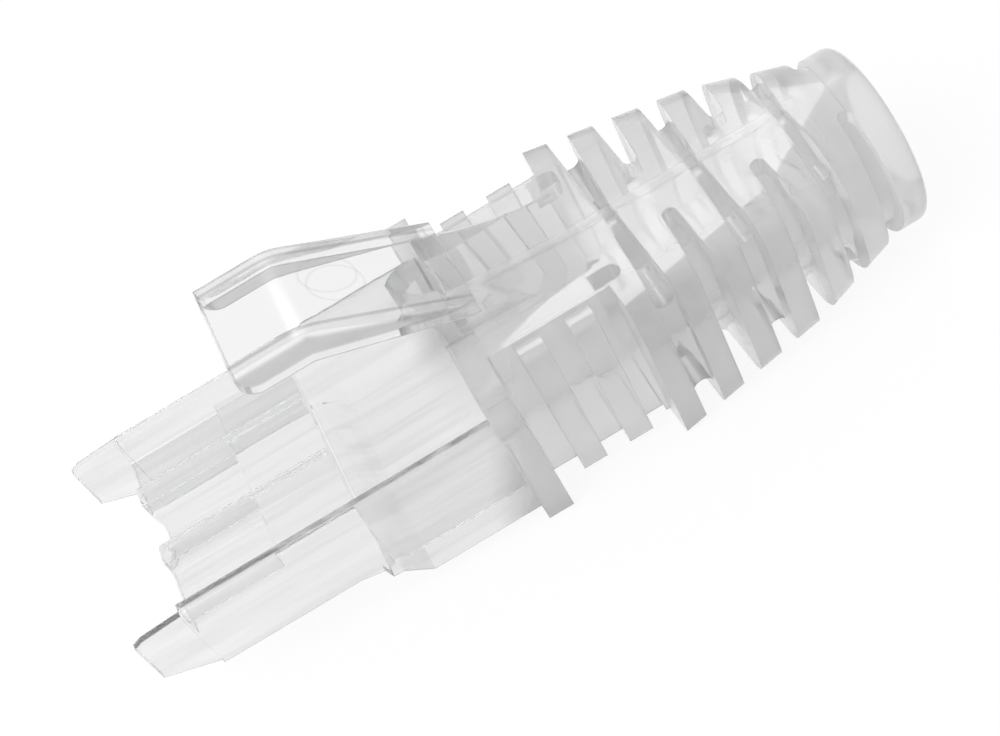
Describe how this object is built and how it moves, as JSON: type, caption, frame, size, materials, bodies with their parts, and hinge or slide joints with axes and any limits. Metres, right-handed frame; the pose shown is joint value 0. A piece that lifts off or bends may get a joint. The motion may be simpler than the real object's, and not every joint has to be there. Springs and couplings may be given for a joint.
{
  "type": "rj45 strain relief boot",
  "caption": "Clear one-piece boot that sleeves the back of a modular plug, hoods its latch and tapers along the cable in alternately slotted fins.",
  "frame": {"origin": "on the cable bore's axis, at the front face of the flange", "axes": "+Y along the bore towards the cable end, +Z towards the latch side, X across the width"},
  "size_m": [0.0136, 0.045, 0.0174],
  "materials": {
    "clear_plastic": "glossy, colourless and see-through, faintly frosted on the barrel"
  },
  "bodies": {
    "root": {"strain_relief_boot": "clear_plastic"}
  },
  "joints": []
}
